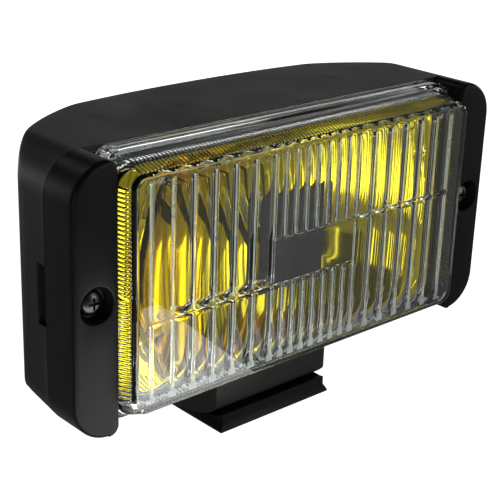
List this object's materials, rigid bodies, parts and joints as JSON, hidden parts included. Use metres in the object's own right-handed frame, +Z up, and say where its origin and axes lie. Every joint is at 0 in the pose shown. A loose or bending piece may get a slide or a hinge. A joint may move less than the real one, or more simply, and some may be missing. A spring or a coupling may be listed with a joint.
{
  "type": "fog light",
  "caption": "Rectangular halogen fog lamp with a fluted clear glass lens, yellow reflector, black housing with screwed end caps and a tilting saddle foot.",
  "frame": {"origin": "centre of the foot's flat underside, which is also the middle of the bounding box's bottom", "axes": "+X is right as seen from the front, -Y is the way the light goes, +Z is up, away from the foot"},
  "size_m": [0.187, 0.0684, 0.112],
  "materials": {
    "housing_black": "semi-matte moulded black plastic",
    "cap_black": "satin moulded black plastic",
    "screw_black": "blackened pan head steel screw",
    "lens_glass": "pressed clear fluted glass",
    "rubber_black": "black rubber",
    "reflector_yellow": "yellow lacquered mirror",
    "shield_grey": "dark grey painted steel sheet",
    "zinc_steel": "zinc plated steel",
    "bulb_glass": "clear hard glass",
    "tungsten": "drawn tungsten wire",
    "spring_steel": "bright spring wire",
    "lead_black": "black insulated lead",
    "brass_bright": "bright brass",
    "terminal_white": "natural nylon"
  },
  "bodies": {
    "foot": {"saddle_foot": "cap_black", "clamp_saddle": "zinc_steel", "clamp_nut": "zinc_steel"},
    "lamp": {"rear_housing": "housing_black", "end_cap_left": "cap_black", "end_cap_right": "cap_black", "cap_screw_left": "screw_black", "cap_screw_right": "screw_black", "lens": "lens_glass", "lens_gasket": "rubber_black", "reflector": "reflector_yellow", "bulb_shield": "shield_grey", "shield_rivet_left": "zinc_steel", "shield_rivet_right": "zinc_steel", "bulb_envelope": "bulb_glass", "bulb_filament": "tungsten", "bulb_base": "zinc_steel", "clip_bracket": "zinc_steel", "clip_catch": "zinc_steel", "bulb_lead": "lead_black", "earth_lead": "lead_black", "earth_tab": "brass_bright", "terminal_block": "terminal_white", "feed_blade": "brass_bright", "earth_blade": "brass_bright", "cable_grommet": "rubber_black", "breather_plug": "rubber_black"},
    "bail": {"bulb_clip": "spring_steel"}
  },
  "joints": [
    {"name": "lamp_tilt", "type": "hinge", "parent": "foot", "child": "lamp", "pos_m": [0, 0, 0.024], "axis": [1, 0, 0], "range_deg": [-18, 18]},
    {"name": "bail_swing", "type": "hinge", "parent": "lamp", "child": "bail", "pos_m": [-0.017, 0.0181, 0.068], "axis": [0, 0, 1], "range_deg": [0, 18]}
  ]
}
